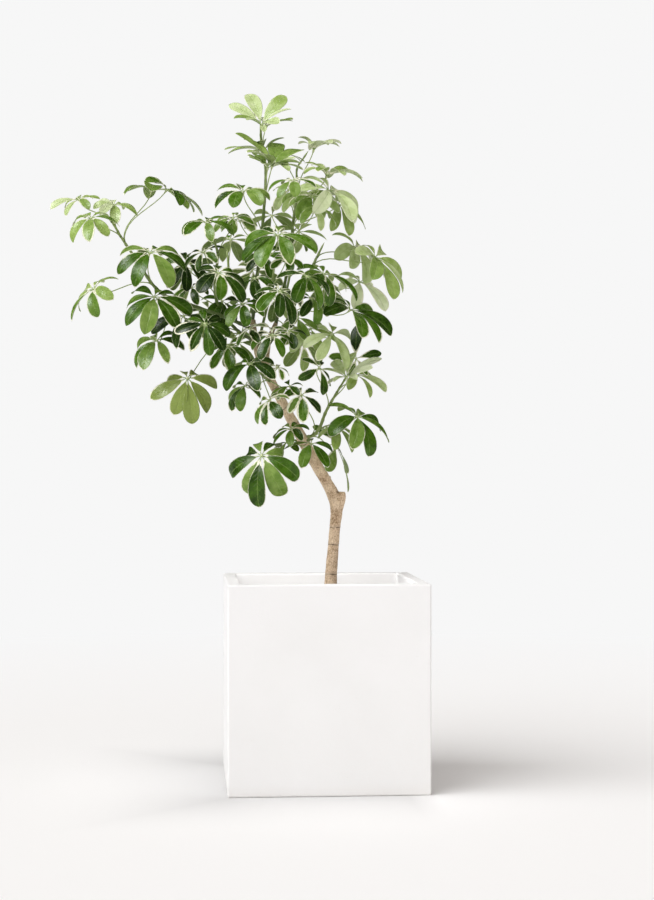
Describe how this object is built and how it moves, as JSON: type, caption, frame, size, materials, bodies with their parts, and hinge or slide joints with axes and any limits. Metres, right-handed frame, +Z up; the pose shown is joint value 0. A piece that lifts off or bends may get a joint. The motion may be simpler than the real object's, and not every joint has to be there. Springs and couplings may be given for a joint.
{
  "type": "potted umbrella tree",
  "caption": "House plant with a bent bare trunk, thin leafy stems and palmate glossy leaves, growing in a tall white cube planter.",
  "frame": {"origin": "centre of the planter's underside", "axes": "+Z up, +X to the right along the planter's front, +Y towards its back"},
  "size_m": [0.6766, 0.4192, 1.2869],
  "materials": {
    "planter": "smooth matte white",
    "soil": "loose dark bark and peat potting soil",
    "bark": "tan bark with leaf-scar rings",
    "green_leaf": "waxy green leaf with a pale edge",
    "pale_leaf": "waxy pale green leaf with a pale edge",
    "dark_leaf": "waxy dark green leaf with a pale edge"
  },
  "bodies": {
    "root": {"planter": "planter", "soil": "soil", "trunk": "bark", "leader_stem": "green_leaf", "second_stem": "pale_leaf", "right_stem": "pale_leaf", "low_right_stem": "pale_leaf", "low_shoot": "green_leaf", "low_left_stem": "green_leaf", "left_arm": "green_leaf", "middle_stem": "dark_leaf", "centre_stem": "dark_leaf", "back_left_stem": "dark_leaf", "back_right_stem": "dark_leaf"}
  },
  "joints": []
}
